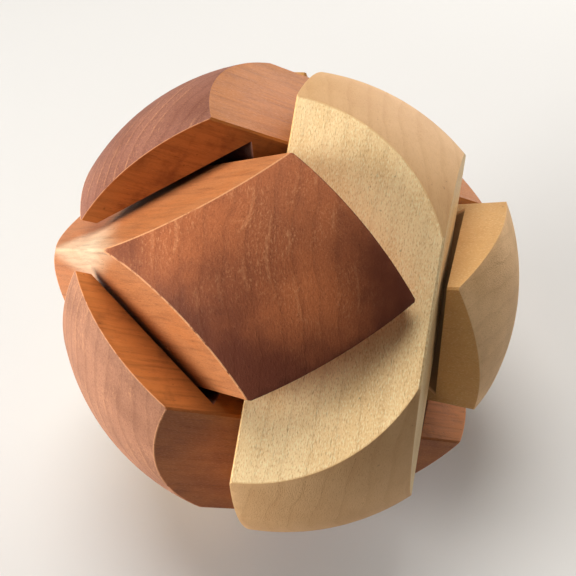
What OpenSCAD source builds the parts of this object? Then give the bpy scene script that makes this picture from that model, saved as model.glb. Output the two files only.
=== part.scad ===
// Six-piece diagonal burr turned to a ball.
// Six square sticks lie in three parallel pairs at right angles to each other. Each stick is set
// edge-on, and two V-notches in its inner edge straddle the pair of sticks that crosses it.
// The ends are turned so that the closed puzzle is a ball. All six sticks are the same piece.
// The ball stands on the corners of three of its end caps, with one body diagonal upright.

/* [Ball] */
// Diameter of the turned ball
ball_d = 70; // [58:0.2:90]

/* [Sticks] */
// Side of the square stock
stock_side = 22; // [18:0.1:27]
// Gap between the inner edges of two parallel sticks
pair_gap = 5.5; // [3:0.1:8]
// Width of the flat that eases each long edge of the stock
edge_flat = 0.4; // [0.2:0.05:1]

/* [Notches] */
// Gap between a notch wall and the stick that sits in it
notch_gap = 1.2; // [0.6:0.05:1.6]

/* [How the loose sticks lie] */
// Shift of the front brown stick along the ball's x, y and z, as a share of the play
front_brown_lie = [-0.45, 0.45, 0.25]; // [-1.3:0.05:1.3]
// Shift of the upper brown stick
upper_brown_lie = [0.4, -0.55, -1.25]; // [-1.3:0.05:1.3]
// Shift of the lower brown stick
lower_brown_lie = [-0.45, -0.05, 1]; // [-1.3:0.05:1.3]
// Shift of the tall maple stick
tall_maple_lie = [-1.05, 0.25, 0.8]; // [-1.3:0.05:1.3]
// Shift of the right maple stick
right_maple_lie = [1.2, -0.55, -0.15]; // [-1.3:0.05:1.3]
// Shift of the hidden maple stick
hidden_maple_lie = [0.4, 0.55, -0.45]; // [-1.3:0.05:1.3]

/* [Hidden] */
$fn = 96;

maple = [0.87, 0.72, 0.50];
brown = [0.52, 0.32, 0.21];

// Half of the stock's diagonal, and half of it with its corner eased
half_diagonal = stock_side / sqrt(2);
eased_half_diagonal = half_diagonal - edge_flat / 2;
// Distance from the centre of the ball to the axis of each stick
axis_offset = half_diagonal + pair_gap / 2;
// How far a stick can move along the ball's axes before a notch wall stops it
play = notch_gap * sqrt(2);

// The ball stands on the lowest corner of three end caps
foot_side = eased_half_diagonal;
foot_out = axis_offset + edge_flat / 2;
foot_along = sqrt(pow(ball_d / 2, 2) - pow(foot_side, 2) - pow(foot_out, 2));
foot_depth = (foot_side + foot_out + foot_along) / sqrt(3);

// Rise of a shifted stick along the upright diagonal
function rise(lie) = play * (lie[0] + lie[1] + lie[2]) / sqrt(3);
lowest_rise = min(rise(right_maple_lie), rise(lower_brown_lie), rise(hidden_maple_lie));
centre_height = foot_depth - lowest_rise;

// Turns about the ball's body diagonal [1, 1, 1] that carry x to y and x to z
third_turn = 120;
two_thirds_turn = 240;
// Turns that stand that diagonal upright, and bring the front brown stick's cap to the front
heading_turn = 45;
tilt_turn = atan(sqrt(2));
front_turn = 30;

// A square with its four corners cut by flats
module eased_square(side) {
    half = side / 2;
    cut = edge_flat / sqrt(2);
    polygon([
        [half, -half + cut], [half, half - cut], [half - cut, half], [-half + cut, half],
        [-half, half - cut], [-half, -half + cut], [-half + cut, -half], [half - cut, -half]
    ]);
}

// The notch is cut by a stick that is thicker by the gap on each face and has sharp edges
module notch_cutter() {
    rotate([90, 0, 0]) rotate([0, 0, 45])
        cube([stock_side + 2 * notch_gap, stock_side + 2 * notch_gap, ball_d], center = true);
}

// One stick along x with its axis above the centre of the ball
module stick() {
    difference() {
        intersection() {
            translate([0, 0, axis_offset]) rotate([45, 0, 0]) rotate([0, 90, 0])
                linear_extrude(height = ball_d, center = true) eased_square(stock_side);
            sphere(d = ball_d);
        }
        for (end = [-1, 1])
            translate([end * axis_offset, 0, 0]) notch_cutter();
    }
}

// The same stick below the centre
module opposite_stick() {
    rotate([180, 0, 0]) stick();
}

// Moves a stick by its share of the play, then stands the ball upright
module lie_in_ball(lie) {
    translate([0, 0, centre_height])
        rotate([0, 0, front_turn]) rotate([tilt_turn, 0, 0]) rotate([0, 0, heading_turn])
            translate(play * lie) children();
}

module front_brown_stick() {
    color(brown) lie_in_ball(front_brown_lie) rotate(a = two_thirds_turn, v = [1, 1, 1]) stick();
}

module upper_brown_stick() {
    color(brown) lie_in_ball(upper_brown_lie) rotate(a = third_turn, v = [1, 1, 1]) stick();
}

module lower_brown_stick() {
    color(brown) lie_in_ball(lower_brown_lie) rotate(a = third_turn, v = [1, 1, 1]) opposite_stick();
}

module tall_maple_stick() {
    color(maple) lie_in_ball(tall_maple_lie) stick();
}

module right_maple_stick() {
    color(maple) lie_in_ball(right_maple_lie) rotate(a = two_thirds_turn, v = [1, 1, 1]) opposite_stick();
}

module hidden_maple_stick() {
    color(maple) lie_in_ball(hidden_maple_lie) opposite_stick();
}

front_brown_stick();
upper_brown_stick();
lower_brown_stick();
tall_maple_stick();
right_maple_stick();
hidden_maple_stick();
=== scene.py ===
"""Looks of a six-stick wooden burr ball: eased sticks, end grain and long grain, and a small studio."""

import math

import bmesh
import bpy
from mathutils import Matrix, Vector

bl_info = {
    "name": "Burr Ball Workshop",
    "version": (1, 0, 0),
    "blender": (4, 5, 0),
    "location": "View3D > Sidebar > Burr Ball",
    "description": (
        "Turns the six notched sticks of a burr ball from oiled wood and sets them in a soft studio"
    ),
    "category": "Object",
}

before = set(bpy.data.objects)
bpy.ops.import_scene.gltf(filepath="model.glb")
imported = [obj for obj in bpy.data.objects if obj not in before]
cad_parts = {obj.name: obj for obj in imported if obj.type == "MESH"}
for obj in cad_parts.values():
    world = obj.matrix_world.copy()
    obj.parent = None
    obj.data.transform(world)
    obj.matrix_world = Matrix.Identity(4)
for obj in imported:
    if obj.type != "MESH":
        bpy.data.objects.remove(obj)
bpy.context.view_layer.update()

MM = 0.001

# The ball's own axes in the row frame: one body diagonal upright, the front brown stick's cap ahead.
BALL_TURN = (
    Matrix.Rotation(math.radians(30), 3, "Z")
    @ Matrix.Rotation(math.atan(math.sqrt(2)), 3, "X")
    @ Matrix.Rotation(math.radians(45), 3, "Z")
)
BALL_X, BALL_Y, BALL_Z = (BALL_TURN.col[i].copy() for i in range(3))

# Each stick: the way it runs, and the way it lies from the centre of the ball.
STICKS = {
    "front_brown_stick": (BALL_Z, BALL_Y),
    "upper_brown_stick": (BALL_Y, BALL_X),
    "lower_brown_stick": (BALL_Y, -BALL_X),
    "tall_maple_stick": (BALL_X, BALL_Z),
    "right_maple_stick": (BALL_Z, -BALL_Y),
    "hidden_maple_stick": (BALL_X, -BALL_Z),
}


class StickSeat:
    """Where one stick lies and how it is shaped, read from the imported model."""

    def __init__(self, node):
        self.along, self.out = STICKS[node]
        self.side = self.along.cross(self.out)
        points = [v.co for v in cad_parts[node].data.vertices]
        self.middle = Vector()
        for way in (self.along, self.side, self.out):
            reach = [p.dot(way) for p in points]
            self.middle += way * (min(reach) + max(reach)) / 2
        places = [self.place(p) for p in points]
        self.half_diagonal = max(abs(side) + abs(out) for along, side, out in places)
        # The inner edge is the longest line of the stick and the outer edge the shortest.
        outer = max(out for along, side, out in places)
        inner_run = max(along for along, side, out in places)
        on_outer_edge = outer - 0.01 * MM
        outer_run = max(along for along, side, out in places if out > on_outer_edge)
        self.axis_offset = (inner_run ** 2 - outer_run ** 2) / (4 * outer)
        self.ball_radius = math.hypot(inner_run, self.axis_offset - outer)

    def place(self, point):
        """A point's distances from the middle: along the stick, to its side and outward."""
        return tuple((point - self.middle).dot(way) for way in (self.along, self.side, self.out))

    def ball_centre(self):
        return self.middle - self.out * self.axis_offset


SEATS = {node: StickSeat(node) for node in STICKS}


# ---------------------------------------------------------------- properties


def size(name, default_mm, description):
    return bpy.props.FloatProperty(
        name=name, description=description, default=default_mm * MM, unit="LENGTH", precision=5
    )


def colour(name, default, description):
    return bpy.props.FloatVectorProperty(
        name=name, description=description, default=default, size=3, min=0, max=1, subtype="COLOR"
    )


def amount(name, default, description, highest):
    return bpy.props.FloatProperty(
        name=name, description=description, default=default, min=0.0, max=highest
    )


# Largest power of one lamp, in watts.
LAMP_LIMIT = 50.0


class BurrSizes(bpy.types.PropertyGroup):
    edge_round: size("Edge round", 0.35, "Width that sanding takes off each edge")
    wear_width: size("Wear width", 0.15, "Width of the rubbed line where a wall meets an end cap")


class BrownWood(bpy.types.PropertyGroup):
    outer: colour("Outer faces", (0.62, 0.265, 0.10), "Long grain on the faces that show")
    inner: colour("Inner faces", (0.62, 0.185, 0.042), "Long grain on the faces that lie inside")
    end: colour("End grain", (0.42, 0.145, 0.06), "Turned ends of the sticks")
    dark: colour("Late wood", (0.12, 0.030, 0.015), "Growth lines, pores and dark patches")
    pale: colour("Worn edge", (0.85, 0.42, 0.2), "Rubbed edges and flecks")
    # Painted glints: the colour of bright fibres that catch the light.
    painted_glint: colour("Glint", (0.80, 0.40, 0.17), "Bright fibres along the grain")
    # Painted highlight: the pale colour of a strip that the low key light over-exposes.
    painted_highlight: colour("Sapwood", (0.90, 0.65, 0.43), "Pale wood from just under the bark")
    ring: size("Ring width", 2.2, "Distance between growth lines")
    streaks: amount("Streaks", 0.4, "Strength of the dark streaks along the sides", 1.0)
    # Strength of the short fibres: dark ones, and bright ones that are painted glints.
    fibres_and_painted_glints: amount("Sparkle", 0.12, "Strength of the short fibres along the sides", 1.0)


class MapleWood(bpy.types.PropertyGroup):
    outer: colour("Outer faces", (0.95, 0.72, 0.36), "Long grain on the faces that show")
    inner: colour("Inner faces", (0.72, 0.40, 0.12), "Long grain on the faces that lie inside")
    end: colour("End grain", (0.70, 0.45, 0.22), "Turned ends of the sticks")
    dark: colour("Late wood", (0.50, 0.25, 0.09), "Growth lines, pores and dark patches")
    pale: colour("Worn edge", (0.74, 0.46, 0.21), "Rubbed edges and flecks")
    # Painted glints: the colour of bright fibres that catch the light.
    painted_glint: colour("Glint", (1.0, 0.88, 0.56), "Bright fibres along the grain")
    # Painted highlight: the pale colour of a strip that the low key light over-exposes.
    painted_highlight: colour("Sapwood", (0.98, 0.80, 0.50), "Pale wood from just under the bark")
    ring: size("Ring width", 2.8, "Distance between growth lines")
    streaks: amount("Streaks", 0.12, "Strength of the dark streaks along the sides", 1.0)
    # Strength of the short fibres: dark ones, and bright ones that are painted glints.
    fibres_and_painted_glints: amount("Sparkle", 0.65, "Strength of the short fibres along the sides", 1.0)


class Studio(bpy.types.PropertyGroup):
    floor: colour("Floor", (0.77, 0.77, 0.77), "Colour of the floor")
    light: colour("Light", (1.0, 0.965, 0.91), "Colour of the lamps")
    key: amount("Key", 2.5, "Power of the low light on the left, in watts", LAMP_LIMIT)
    top: amount("Top", 1.6, "Power of the light overhead, in watts", LAMP_LIMIT)
    back: amount("Back", 1.4, "Power of the low light behind on the right, in watts", LAMP_LIMIT)
    front: amount("Front", 0.06, "Power of the light in front on the left, in watts", LAMP_LIMIT)


# ---------------------------------------------------------------- shader maths


class Wire:
    """A socket that takes part in sums."""

    def __init__(self, tree, socket):
        self.tree = tree
        self.socket = socket

    def _math(self, operation, *values):
        return self.tree.add("ShaderNodeMath", {"operation": operation}, dict(enumerate(values)))

    def __add__(self, other):
        return self._math("ADD", self, other)

    def __radd__(self, other):
        return self._math("ADD", other, self)

    def __sub__(self, other):
        return self._math("SUBTRACT", self, other)

    def __rsub__(self, other):
        return self._math("SUBTRACT", other, self)

    def __mul__(self, other):
        return self._math("MULTIPLY", self, other)

    def __rmul__(self, other):
        return self._math("MULTIPLY", other, self)

    def __truediv__(self, other):
        return self._math("DIVIDE", self, other)

    def __abs__(self):
        return self._math("ABSOLUTE", self)

    def fraction(self):
        return self._math("FRACT", self)

    def angle(self, other):
        return self._math("ARCTAN2", self, other)

    def root(self):
        return self._math("SQRT", self)

    def least(self, other):
        return self._math("MINIMUM", self, other)

    def most(self, other):
        return self._math("MAXIMUM", self, other)

    def step(self, low, high):
        """0 at low, 1 at high, eased between them; low may be the larger."""
        settings = {"interpolation_type": "SMOOTHSTEP", "clamp": True}
        if low < high:
            return self.tree.add("ShaderNodeMapRange", settings, {0: self, 1: low, 2: high})
        return 1 - self.tree.add("ShaderNodeMapRange", settings, {0: self, 1: high, 2: low})


class Tree:
    """A material's nodes, each added by one call."""

    def __init__(self, name):
        self.material = bpy.data.materials.new(name)
        self.material.use_nodes = True
        self.nodes = self.material.node_tree.nodes
        self.nodes.clear()

    def add(self, kind, settings=None, inputs=None, output=0):
        node = self.nodes.new(kind)
        for key, value in (settings or {}).items():
            setattr(node, key, value)
        for key, value in (inputs or {}).items():
            if isinstance(value, Wire):
                self.material.node_tree.links.new(value.socket, node.inputs[key])
            else:
                node.inputs[key].default_value = value
        return Wire(self, node.outputs[output]) if node.outputs else None

    def dot(self, vector, direction):
        settings = {"operation": "DOT_PRODUCT"}
        return self.add("ShaderNodeVectorMath", settings, {0: vector, 1: direction}, "Value")

    def point(self, x, y, z):
        return self.add("ShaderNodeCombineXYZ", None, {0: x, 1: y, 2: z})

    def noise(self, point, detail, roughness):
        inputs = {"Vector": point, "Scale": 1.0, "Detail": detail, "Roughness": roughness}
        return self.add("ShaderNodeTexNoise", None, inputs)

    def mix(self, factor, first, second):
        settings = {"data_type": "RGBA", "blend_type": "MIX", "clamp_factor": True}
        return self.add("ShaderNodeMix", settings, {0: factor, 6: first, 7: second}, 2)

    def bump(self, height, distance, strength):
        inputs = {"Strength": strength, "Distance": distance, "Height": height}
        return self.add("ShaderNodeBump", None, inputs)

    def surface(self, shader):
        self.add("ShaderNodeOutputMaterial", None, {"Surface": shader})


def opaque(shade):
    return (*shade, 1.0)


def scaled(shade, factors):
    return tuple(min(1.0, c * f) for c, f in zip(shade, factors))


def dimmed(shade, factor):
    return tuple(c * factor for c in shade)


# ---------------------------------------------------------------- wood


class WoodCut:
    """How one stick was sawn from the tree, and how it differs from its neighbours.

    pith: middle of the tree, in mm to the side and outward of the stick's axis.
    outer_tint, inner_tint, end_tint: this stick's colour against the others, face by face.
    painted_end_shade: painted shade on the end, darker where it turns away from the light, each patch
    by its growth per mm to the side and outward and a start.
    painted_highlight: painted highlight, a pale strip of the faces where the low key light over-exposes
    them, by its growth per mm from mid-length and outward and a start.
    wear: pale line on the end's outer and inner edges, or a dark one below zero.
    figure: strength of its growth lines and patches.
    """

    def __init__(self, pith, outer_tint, inner_tint, end_tint, painted_end_shade, painted_highlight, wear, figure, seed):
        self.pith = pith
        self.outer_tint = outer_tint
        self.inner_tint = inner_tint
        self.end_tint = end_tint
        self.painted_end_shade = painted_end_shade
        self.painted_highlight = painted_highlight
        self.wear = wear
        self.figure = figure
        self.seed = seed


BROWN_CUTS = {
    "front_brown_stick": WoodCut(
        pith=(-9, -64),
        outer_tint=(0.86, 0.75, 0.72),
        inner_tint=(1.0, 0.95, 0.85),
        end_tint=(1.06, 0.92, 0.80),
        # Painted shade: the end darker where it turns away from the light.
        painted_end_shade=((0.085, 0.02, -0.05), (0.01, -0.095, -0.3)),
        # Painted highlight: a pale strip along the ridge, where the low key light over-exposes the
        # faces.
        painted_highlight=(-0.09, 0.25, -2.65),
        wear=(0.7, -0.7),
        figure=0.4,
        seed=11.0,
    ),
    "upper_brown_stick": WoodCut(
        pith=(-58, 14),
        outer_tint=(0.74, 0.56, 0.20),
        inner_tint=(0.92, 1.15, 1.42),
        end_tint=(0.78, 0.97, 1.65),
        painted_end_shade=(),
        painted_highlight=(0.0, 0.0, -1.0),
        wear=(0.0, 0.8),
        figure=0.6,
        seed=37.0,
    ),
    "lower_brown_stick": WoodCut(
        pith=(60, 30),
        outer_tint=(0.50, 0.40, 0.37),
        inner_tint=(1.0, 1.2, 1.4),
        end_tint=(1.15, 1.55, 2.2),
        painted_end_shade=(),
        painted_highlight=(0.0, 0.0, -1.0),
        wear=(0.5, 0.8),
        figure=0.5,
        seed=71.0,
    ),
}
MAPLE_CUTS = {
    "tall_maple_stick": WoodCut(
        pith=(46, 34),
        outer_tint=(1.05, 1.04, 1.14),
        inner_tint=(1.0, 1.0, 1.0),
        end_tint=(1.0, 0.95, 0.95),
        painted_end_shade=(),
        painted_highlight=(0.0, 0.0, -1.0),
        wear=(0.6, 0.5),
        figure=0.5,
        seed=5.0,
    ),
    "right_maple_stick": WoodCut(
        pith=(-50, 30),
        outer_tint=(0.95, 0.95, 0.95),
        inner_tint=(0.90, 0.96, 1.3),
        end_tint=(1.4, 1.4, 1.5),
        painted_end_shade=(),
        painted_highlight=(0.0, 0.0, -1.0),
        wear=(0.8, 0.6),
        figure=0.2,
        seed=23.0,
    ),
    "hidden_maple_stick": WoodCut(
        pith=(20, -60),
        outer_tint=(0.97, 0.97, 0.97),
        inner_tint=(0.97, 0.97, 0.97),
        end_tint=(1.0, 0.97, 0.93),
        painted_end_shade=(),
        painted_highlight=(0.0, 0.0, -1.0),
        wear=(0.6, 0.5),
        figure=0.5,
        seed=53.0,
    ),
}


# Each kind of noise in the wood: waves per mm across and along the stick, detail, roughness, and the
# number that sets it apart from the others.
NOISES = {
    "fibre": (6.5, 2.3, 1.0, 0.6, 0.0),
    "streak": (1.6, 0.16, 4.0, 0.65, 9.0),
    "blotch": (0.22, 0.3, 4.0, 0.6, 17.0),
    "cloud": (0.12, 0.09, 3.0, 0.55, 29.0),
    "speck": (5.0, 4.0, 2.0, 0.65, 41.0),
    "pore": (6.5, 0.9, 1.0, 0.5, 53.0),
    "knot": (1.3, 1.3, 1.0, 0.5, 67.0),
    "chip": (0.8, 0.8, 3.0, 0.7, 71.0),
    "patch": (0.16, 0.16, 2.0, 0.5, 83.0),
    "ring_wobble": (0.3, 0.05, 3.0, 0.55, 0.0),
    "pith_sway": (0.05, 0.02, 2.0, 0.55, 3.0),
}

# Each mark in the wood: the value at which it starts, the value at which it is full, and its strength.
MARKS = {
    # Painted highlight strip, where the low key light over-exposes the faces.
    "painted_highlight_strip": (-0.2, 0.7, 1.0),
    "golden_cloud": (0.42, 0.62, 0.25),
    "streak": (0.42, 0.8, 1.0),
    "blotch": (0.45, 0.8, 1.0),
    "dark_fibre": (0.52, 0.74, 0.7),
    # Painted glints on the bright fibres.
    "painted_glint_fibre": (0.48, 0.3, 1.0),
    "dark_cloud": (0.35, 0.68, 0.35),
    "pale_line": (0.5, 0.6, 0.4),
    "pale_patch": (0.42, 0.6, 0.3),
    "pale_row": (0.52, 0.74, 1.0),
    "dark_row": (0.48, 0.28, 0.26),
    "pale_speck": (0.5, 0.75, 0.15),
    "dark_speck": (0.5, 0.25, 0.2),
    # Painted shade on the ends, where they turn away from the light.
    "painted_end_shade": (-0.2, 1.0, 0.95),
    "pore": (0.66, 0.76, 1.0),
    "knot": (0.76, 0.84, 1.0),
    "chip": (0.3, 0.5, 1.0),
}

# How far the pith wanders, in mm, and how unevenly the years follow one another, in years.
PITH_SWAY = 6.0
YEAR_WOBBLE = 0.4

# Late wood and the pale line after it: the parts of a year over which each comes and goes.
LATE_COMES = (0.55, 0.92)
LATE_GOES = (1.0, 0.92)
LINE_COMES = (0.0, 0.1)
LINE_GOES = (0.22, 0.1)

# Rows of pores on the ends: waves per mm across the years, round the pith and along the stick.
PORE_ROWS = (6.0, 2.2, 0.6)
ROW_DETAIL = 2.0
ROW_ROUGHNESS = 0.6

# Masks: how squarely an end faces along the stick, and in mm where the inner faces and the painted
# shade of the notches begin.
END_FACING = (0.1, 0.25)
INNER_REACH = (0.4, -0.4)
NOTCH_REACH = (0.1, 0.5)

# Part of the rubbed line that is worn through.
WORN_THROUGH = 0.5

# Middle of a noise, whose values run from 0 to 1.
EVEN = 0.5

# How far the clouds shift the edges of the painted highlight strip and of the painted shade on the
# ends.
PAINTED_HIGHLIGHT_DRIFT = 0.8
PAINTED_END_SHADE_DRIFT = 1.2

# Strength of blotches and of short fibres, dark ones and painted glints, on the outer faces, and what
# the inner faces add to it.
BLOTCH_FACES = (0.25, 0.7)
FIBRE_AND_GLINT_FACES = (1.0, -0.7)

# Strength of the growth lines: along the sides; on plain ends, and what the stick's figure adds.
SIDE_LINES = 0.12
END_LINES = (0.05, 0.3)

# Strength of the pale rows of pores outside the pale patches.
PLAIN_ROWS = 0.06

# Pores and knots, and the painted shade in the notches: their colour against the dark of the wood, and
# their strength.
PORE_SHADE = (0.6, 0.3)
KNOT_SHADE = (0.5, 0.45)
PAINTED_NOTCH_SHADE = (0.3, 0.75)

# Roughness of the wood, and what fibres and ends add to it and clouds take away.
ROUGHNESS = 0.48
FIBRE_ROUGHNESS = 0.16
END_ROUGHNESS = 0.1
CLOUD_GLOSS = 0.1

# Heights and depths in the surface, as parts of the relief, which is in metres.
FIBRE_HEIGHT = 0.5
PORE_DEPTH = 0.8
LINE_DEPTH = 0.3
SPECK_HEIGHT = 0.5
RELIEF = 0.08 * MM
RELIEF_STRENGTH = 0.6

WOOD_IOR = 1.46
WOOD_SPECULAR = 0.18


def mark(value, kind):
    """How strongly one kind of mark shows where the value is so large."""
    start, full, strength = MARKS[kind]
    return value.step(start, full) * strength


class StickPlaces:
    """Places inside one stick, in millimetres from its middle, and masks for its faces."""

    def __init__(self, tree, seat, seed, wear_width):
        place = tree.add("ShaderNodeTexCoord", None, None, "Object")
        facing = tree.add("ShaderNodeTexCoord", None, None, "Normal")
        self.along, self.side, self.out = (
            (tree.dot(place, way) - seat.middle.dot(way)) / MM
            for way in (seat.along, seat.side, seat.out)
        )
        self.tree = tree
        self.seed = seed
        face_depth = (seat.half_diagonal / MM - abs(self.side) - abs(self.out)) * math.sqrt(0.5)
        from_centre = seat.axis_offset / MM + self.out
        ball_depth = seat.ball_radius / MM - (
            self.along * self.along + self.side * self.side + from_centre * from_centre
        ).root()
        self.end = abs(tree.dot(facing, seat.along)).step(*END_FACING)
        self.inner = self.out.step(*INNER_REACH)
        self.rim = face_depth.most(ball_depth).step(wear_width, wear_width * WORN_THROUGH)
        # Painted shade: a mask for the notch walls, darkened where shade falls inside the notches.
        self.painted_notch_shade = face_depth.least(ball_depth).step(*NOTCH_REACH)

    def noise(self, kind, turn=1):
        """One kind of noise through the stick; turn -1 gives a second one of its kind."""
        across, along, detail, roughness, shift = NOISES[kind]
        start = turn * (self.seed + shift)
        point = self.tree.point(self.side * across, self.out * across, self.along * along + start)
        return self.tree.noise(point, detail, roughness)

    def slope(self, side, out, start):
        """A value that grows by so much per mm to the side and outward."""
        return self.side * side + self.out * out + start


class GrowthRings:
    """The years of the tree round a wandering pith, and the pores that stand in rows along them."""

    def __init__(self, at, cut, ring_mm):
        side = at.side + (at.noise("pith_sway") - EVEN) * PITH_SWAY - cut.pith[0]
        out = at.out + (at.noise("pith_sway", -1) - EVEN) * PITH_SWAY - cut.pith[1]
        radius = (side * side + out * out).root()
        year = (radius / ring_mm + at.noise("ring_wobble") * YEAR_WOBBLE).fraction()
        self.late = year.step(*LATE_COMES) * year.step(*LATE_GOES)
        self.line = year.step(*LINE_COMES) * year.step(*LINE_GOES)
        round_pith = side.angle(out) * math.hypot(*cut.pith)
        across, around, along = PORE_ROWS
        rows = at.tree.point(radius * across, round_pith * around, at.along * along + cut.seed)
        self.rows = at.tree.noise(rows, ROW_DETAIL, ROW_ROUGHNESS)


def side_grain(tree, at, cut, look, rings, fibre, cloud):
    """Colour of the long faces: a painted highlight strip, golden clouds, dark streaks and blotches,
    and short fibres, the bright ones painted glints.
    """
    dark = opaque(look.dark)
    inner = opaque(scaled(look.inner, cut.inner_tint))
    along, out, start = cut.painted_highlight
    # Painted highlight: a pale strip along the ridge, where the low key light over-exposes the faces.
    painted_highlight = abs(at.along) * along + at.out * out + start + (cloud - EVEN) * PAINTED_HIGHLIGHT_DRIFT
    blotches = (BLOTCH_FACES[0] + BLOTCH_FACES[1] * at.inner) * cut.figure
    # Short fibres: dark ones, and bright ones that are painted glints.
    fibres = (FIBRE_AND_GLINT_FACES[0] + FIBRE_AND_GLINT_FACES[1] * at.inner) * look.fibres_and_painted_glints
    shade = tree.mix(at.inner, opaque(scaled(look.outer, cut.outer_tint)), inner)
    shade = tree.mix(mark(painted_highlight, "painted_highlight_strip"), shade, opaque(look.painted_highlight))
    shade = tree.mix(mark(cloud, "golden_cloud"), shade, inner)
    shade = tree.mix(mark(at.noise("streak"), "streak") * look.streaks, shade, dark)
    shade = tree.mix(mark(at.noise("blotch"), "blotch") * blotches, shade, dark)
    shade = tree.mix(rings.late * SIDE_LINES, shade, dark)
    shade = tree.mix(mark(fibre, "dark_fibre") * fibres, shade, dark)
    # Painted glints: bright fibres in the glint colour, where the grain catches the light.
    return tree.mix(mark(fibre, "painted_glint_fibre") * fibres, shade, opaque(look.painted_glint))


def end_grain(tree, at, cut, look, rings, speck, cloud):
    """Colour of the turned ends: growth lines, rows of pores, specks and painted shade where the end
    turns away from the light.
    """
    dark = opaque(look.dark)
    pale = opaque(look.pale)
    patch = at.noise("patch")
    lines = END_LINES[0] + END_LINES[1] * cut.figure
    pale_lines = rings.line * mark(patch, "pale_line") * cut.figure
    pale_rows = mark(rings.rows, "pale_row") * (PLAIN_ROWS + mark(patch, "pale_patch"))
    shade = opaque(scaled(look.end, cut.end_tint))
    shade = tree.mix(mark(cloud, "dark_cloud"), shade, dark)
    shade = tree.mix(rings.late * lines, shade, dark)
    shade = tree.mix(pale_lines, shade, pale)
    shade = tree.mix(pale_rows, shade, pale)
    shade = tree.mix(mark(rings.rows, "dark_row"), shade, dark)
    shade = tree.mix(mark(speck, "pale_speck"), shade, pale)
    shade = tree.mix(mark(speck, "dark_speck"), shade, dark)
    # Painted shade: the end darkened where it turns away from the light.
    for painted_end_shade in cut.painted_end_shade:
        darkness = at.slope(*painted_end_shade) + (cloud - EVEN) * PAINTED_END_SHADE_DRIFT
        shade = tree.mix(mark(darkness, "painted_end_shade"), shade, dark)
    return shade


def darkened(tree, shade, where, dark, mark_shade):
    """The shade with a darker colour where a mask says: darker wood for pores and knots, painted shade
    for the notch walls.
    """
    darkness, strength = mark_shade
    return tree.mix(where * strength, shade, opaque(dimmed(dark, darkness)))


def wood(name, seat, cut, look, sizes):
    """Solid wood that runs through the stick: rings on its ends, streaks along its sides."""
    tree = Tree(name)
    at = StickPlaces(tree, seat, cut.seed, sizes.wear_width / MM)
    rings = GrowthRings(at, cut, look.ring / MM)
    fibre = at.noise("fibre")
    cloud = at.noise("cloud")
    speck = at.noise("speck")
    pore = mark(at.noise("pore"), "pore")
    knot = mark(at.noise("knot"), "knot")

    sides = side_grain(tree, at, cut, look, rings, fibre, cloud)
    ends = end_grain(tree, at, cut, look, rings, speck, cloud)
    shade = tree.mix(at.end, sides, ends)
    shade = darkened(tree, shade, pore, look.dark, PORE_SHADE)
    shade = darkened(tree, shade, knot, look.dark, KNOT_SHADE)
    rubbed = mark(at.noise("chip"), "chip") * at.rim
    for wear, edges in zip(cut.wear, (1 - at.inner, at.inner)):
        line = opaque(look.pale if wear > 0 else look.dark)
        shade = tree.mix(rubbed * edges * abs(wear), shade, line)
    # Painted shade: the notch walls darkened where shade falls inside the notches.
    shade = darkened(tree, shade, at.painted_notch_shade, look.dark, PAINTED_NOTCH_SHADE)

    roughness = ROUGHNESS + FIBRE_ROUGHNESS * fibre + END_ROUGHNESS * at.end - CLOUD_GLOSS * cloud
    height = fibre * FIBRE_HEIGHT * (1 - at.end) - pore * PORE_DEPTH - rings.late * LINE_DEPTH
    height = height + (rings.rows + speck * SPECK_HEIGHT) * at.end
    tree.surface(tree.add("ShaderNodeBsdfPrincipled", None, {
        "Base Color": shade,
        "Roughness": roughness,
        "Normal": tree.bump(height, RELIEF, RELIEF_STRENGTH),
        "IOR": WOOD_IOR,
        "Specular IOR Level": WOOD_SPECULAR,
    }))
    return tree.material


# ---------------------------------------------------------------- sticks


# Points of the model closer than this are one point, in metres.
SAME_POINT = 1e-6

# Edges sharper than this are eased, in so many steps across the rounding.
SHARP_EDGE = math.radians(25)
ROUND_STEPS = 3


def ease_edges(stick, edge_round):
    """Rounds the sharp edges of one stick, as sanding does."""
    weld = stick.modifiers.new("joined_faces", "WELD")
    weld.merge_threshold = SAME_POINT
    bevel = stick.modifiers.new("eased_edges", "BEVEL")
    bevel.width = edge_round
    bevel.segments = ROUND_STEPS
    bevel.limit_method = "ANGLE"
    bevel.angle_limit = SHARP_EDGE
    bevel.use_clamp_overlap = True
    bevel.harden_normals = True


def finish_sticks(cuts, look, sizes):
    """Gives each stick of one wood its own material and eases its edges."""
    for node, cut in cuts.items():
        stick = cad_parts[node]
        material = wood(node + "_wood", SEATS[node], cut, look, sizes)
        for slot in stick.material_slots:
            slot.link = "OBJECT"
            slot.material = material
        ease_edges(stick, sizes.edge_round)


# ---------------------------------------------------------------- studio


# Metres: the floor's flat middle, the sweep up to the wall, and the wall's top.
FLOOR_FLAT = 1.2
SWEEP_RADIUS = 0.8
WALL_HEIGHT = 3.0

# Steps of the sweep from floor to wall, and steps all the way round.
SWEEP_STEPS = 12
SPIN_STEPS = 96

# Floor points closer than this are one point, in metres.
SAME_FLOOR_POINT = 1e-5

FLOOR_ROUGHNESS = 0.75
FLOOR_SPECULAR = 0.2

# Each lamp: degrees to the right of the front, degrees up, and the property that holds its power.
LAMPS = {
    "key_light": (-90, 12, "key"),
    "top_light": (180, 74, "top"),
    "back_light": (132, 12, "back"),
    "front_light": (-40, 40, "front"),
}

# Metres: each lamp's width and its distance from the ball.
LAMP_SIZE = 0.3
LAMP_DISTANCE = 0.45

# The camera: degrees to the right of the front, degrees up, and metres from the ball.
CAMERA_VIEW = (-10.7, 49.4, 0.1413)

# Degrees the camera is rolled, and metres that it looks to the right of the ball's centre and above it.
CAMERA_ROLL = -5.75
CAMERA_AIM = Vector((0.0004, 0.0001, 0.0))

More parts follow.
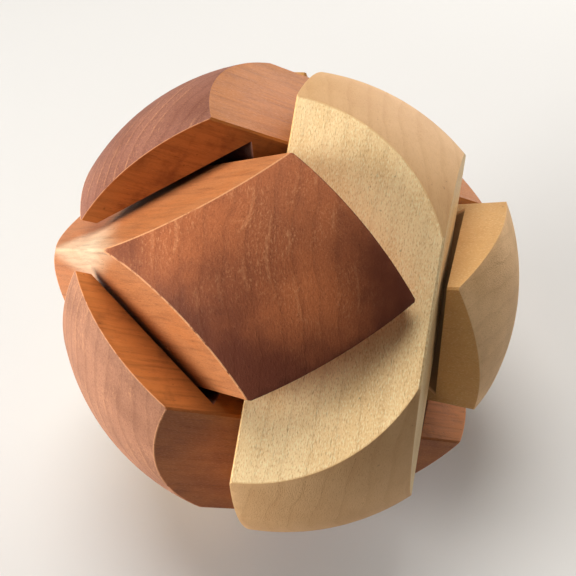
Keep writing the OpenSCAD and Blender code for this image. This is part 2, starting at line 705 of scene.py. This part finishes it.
# Millimetres: the lens and the width of the film behind it.
LENS = 56.0
FILM_WIDTH = 36.0

# Metres: nearest and farthest that the camera sees.
CAMERA_REACH = (0.01, 50.0)


def floor_paint(shade):
    """Matt paint for the floor and the wall."""
    tree = Tree("pale_floor")
    tree.surface(tree.add("ShaderNodeBsdfPrincipled", None, {
        "Base Color": opaque(shade),
        "Roughness": FLOOR_ROUGHNESS,
        "Specular IOR Level": FLOOR_SPECULAR,
    }))
    return tree.material


def place(centre, heading, height, distance):
    """A point round the ball: degrees to the right of the front, degrees up, and distance."""
    turn = math.radians(heading)
    rise = math.radians(height)
    flat = math.cos(rise)
    way = Vector((math.sin(turn) * flat, -math.cos(turn) * flat, math.sin(rise)))
    return centre + way * distance


# ---------------------------------------------------------------- operators


class BURR_OT_brown_sticks(bpy.types.Operator):
    """Make the three brown sticks"""

    bl_idname = "burr.brown_sticks"
    bl_label = "Brown Sticks"

    def execute(self, context):
        finish_sticks(BROWN_CUTS, context.scene.burr_brown, context.scene.burr_sizes)
        return {"FINISHED"}


class BURR_OT_maple_sticks(bpy.types.Operator):
    """Make the three maple sticks"""

    bl_idname = "burr.maple_sticks"
    bl_label = "Maple Sticks"

    def execute(self, context):
        finish_sticks(MAPLE_CUTS, context.scene.burr_maple, context.scene.burr_sizes)
        return {"FINISHED"}


class BURR_OT_studio(bpy.types.Operator):
    """Set the floor, the lights and the camera"""

    bl_idname = "burr.studio"
    bl_label = "Studio"

    def execute(self, context):
        scene = context.scene
        look = scene.burr_studio
        centres = [seat.ball_centre() for seat in SEATS.values()]
        centre = sum(centres, Vector()) / len(centres)
        self.floor(scene, look)
        self.black_sky(scene)
        for name, (heading, height, power) in LAMPS.items():
            spot = place(centre, heading, height, LAMP_DISTANCE)
            self.soft_box(scene, name, spot, centre, look.light, getattr(look, power))
        self.camera(scene, centre)
        scene.view_settings.view_transform = "Standard"
        return {"FINISHED"}

    def floor(self, scene, look):
        """A round floor that sweeps up into a wall, so no horizon shows."""
        profile = [(0.0, 0.0), (FLOOR_FLAT, 0.0)]
        for step in range(1, SWEEP_STEPS + 1):
            turn = math.pi / 2 * step / SWEEP_STEPS
            profile.append((
                FLOOR_FLAT + SWEEP_RADIUS * math.sin(turn),
                SWEEP_RADIUS * (1 - math.cos(turn)),
            ))
        profile.append((FLOOR_FLAT + SWEEP_RADIUS, WALL_HEIGHT))
        mesh = bmesh.new()
        points = [mesh.verts.new((away, 0.0, height)) for away, height in profile]
        edges = [mesh.edges.new(pair) for pair in zip(points, points[1:])]
        bmesh.ops.spin(
            mesh, geom=points + edges, cent=(0, 0, 0), axis=(0, 0, 1), angle=2 * math.pi,
            steps=SPIN_STEPS, use_merge=True, use_duplicate=False,
        )
        bmesh.ops.remove_doubles(mesh, verts=mesh.verts, dist=SAME_FLOOR_POINT)
        bmesh.ops.recalc_face_normals(mesh, faces=mesh.faces)
        for face in mesh.faces:
            face.smooth = True
        data = bpy.data.meshes.new("floor")
        mesh.to_mesh(data)
        mesh.free()
        data.materials.append(floor_paint(look.floor))
        floor = bpy.data.objects.new("floor", data)
        scene.collection.objects.link(floor)

    def black_sky(self, scene):
        """Nothing lights the ball but the lamps and what they light."""
        world = bpy.data.worlds.new("studio")
        world.use_nodes = True
        world.node_tree.nodes["Background"].inputs["Strength"].default_value = 0.0
        scene.world = world

    def soft_box(self, scene, name, spot, centre, shade, power):
        """A round lamp that stands at the spot and shines on the ball."""
        light = bpy.data.lights.new(name, "AREA")
        light.shape = "DISK"
        light.size = LAMP_SIZE
        light.energy = power
        light.color = shade
        lamp = bpy.data.objects.new(name, light)
        lamp.location = spot
        lamp.rotation_euler = (centre - lamp.location).to_track_quat("-Z", "Y").to_euler()
        scene.collection.objects.link(lamp)

    def camera_turn(self, spot, target):
        """The way a rolled camera at the spot stands when it looks at the target."""
        level = (target - spot).to_track_quat("-Z", "Y").to_matrix()
        return level @ Matrix.Rotation(math.radians(CAMERA_ROLL), 3, "Z")

    def camera(self, scene, centre):
        """The camera, which looks down at the ball a little off its centre."""
        lens = bpy.data.cameras.new("camera")
        lens.sensor_width = FILM_WIDTH
        lens.lens = LENS
        lens.clip_start, lens.clip_end = CAMERA_REACH
        eye = bpy.data.objects.new("camera", lens)
        eye.location = place(centre, *CAMERA_VIEW)
        aim = centre + self.camera_turn(eye.location, centre) @ CAMERA_AIM
        eye.rotation_euler = self.camera_turn(eye.location, aim).to_euler()
        scene.collection.objects.link(eye)
        scene.camera = eye


# ---------------------------------------------------------------- panel


class BURR_PT_workshop(bpy.types.Panel):
    """Sizes, woods and studio of the burr ball"""

    bl_idname = "BURR_PT_workshop"
    bl_label = "Burr Ball"
    bl_space_type = "VIEW_3D"
    bl_region_type = "UI"
    bl_category = "Burr Ball"

    def draw(self, context):
        scene = context.scene
        for group in (scene.burr_sizes, scene.burr_brown, scene.burr_maple, scene.burr_studio):
            box = self.layout.box()
            for key in group.__annotations__:
                box.prop(group, key)
        for operator in OPERATORS:
            self.layout.operator(operator.bl_idname)


GROUPS = {
    "burr_sizes": BurrSizes,
    "burr_brown": BrownWood,
    "burr_maple": MapleWood,
    "burr_studio": Studio,
}
OPERATORS = (BURR_OT_brown_sticks, BURR_OT_maple_sticks, BURR_OT_studio)


def register():
    for group in GROUPS.values():
        bpy.utils.register_class(group)
    for key, group in GROUPS.items():
        setattr(bpy.types.Scene, key, bpy.props.PointerProperty(type=group))
    for operator in OPERATORS:
        bpy.utils.register_class(operator)
    bpy.utils.register_class(BURR_PT_workshop)


def unregister():
    bpy.utils.unregister_class(BURR_PT_workshop)
    for operator in reversed(OPERATORS):
        bpy.utils.unregister_class(operator)
    for key in GROUPS:
        delattr(bpy.types.Scene, key)
    for group in reversed(list(GROUPS.values())):
        bpy.utils.unregister_class(group)


def main():
    register()
    bpy.ops.burr.brown_sticks()
    bpy.ops.burr.maple_sticks()
    bpy.ops.burr.studio()


if __name__ == "__main__":
    main()
